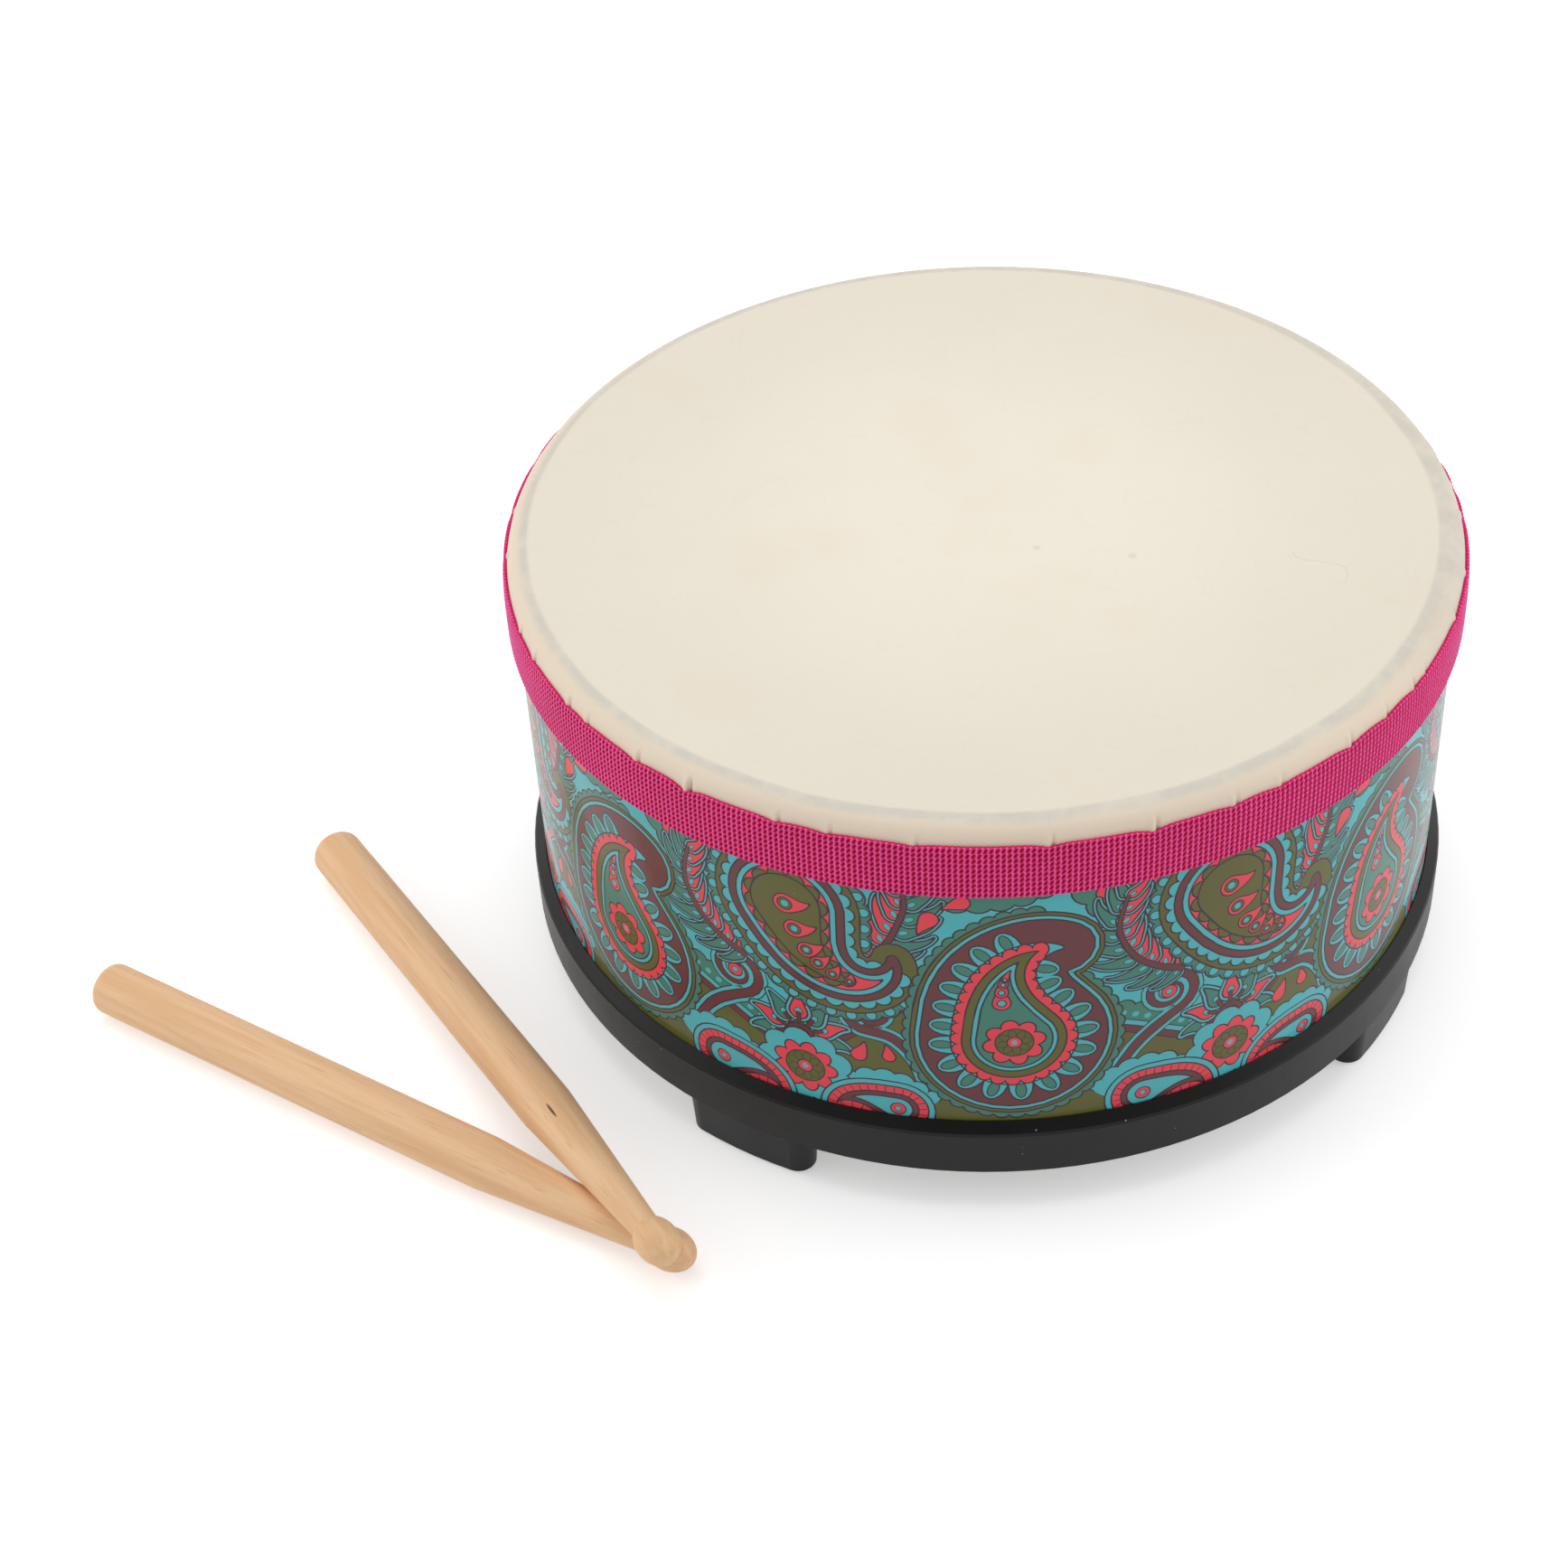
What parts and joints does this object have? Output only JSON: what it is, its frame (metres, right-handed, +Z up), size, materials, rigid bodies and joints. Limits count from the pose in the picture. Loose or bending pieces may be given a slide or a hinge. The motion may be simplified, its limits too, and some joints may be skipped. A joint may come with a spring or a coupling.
{
  "type": "floor drum with drumsticks",
  "caption": "Low round floor drum: a stapled skin on a printed wooden shell, woven edge band, moulded base ring with feet, and a pair of bead-tipped drumsticks.",
  "frame": {"origin": "on the drum's axis, on the floor that the feet stand on", "axes": "+Z up along the drum's axis, -Y the front as it is seen, +X to the right; the sticks lie at the front left"},
  "size_m": [0.3846, 0.2951, 0.132],
  "materials": {
    "shell_wood": "plain plywood",
    "printed_film": "glossy printed film",
    "skin": "smooth dried drumskin",
    "staple_wire": "drawn wire",
    "webbing": "ribbed woven tape",
    "ring_plastic": "satin moulded",
    "stick_wood": "sanded and lacquered"
  },
  "bodies": {
    "drum": {"drum_shell": "shell_wood", "printed_wrap": "printed_film", "drum_head": "skin", "head_staples": "staple_wire", "edge_webbing": "webbing", "base_ring": "ring_plastic"},
    "lower_stick": {"drumstick_lower": "stick_wood"},
    "upper_stick": {"drumstick_upper": "stick_wood"}
  },
  "joints": [
    {"name": "lower_stick_lift", "type": "slide", "parent": "drum", "child": "lower_stick", "axis": [0, 0, 1], "range_m": [0, 0.16]},
    {"name": "upper_stick_lift", "type": "slide", "parent": "lower_stick", "child": "upper_stick", "axis": [0, 0, 1], "range_m": [0, 0.16]}
  ]
}
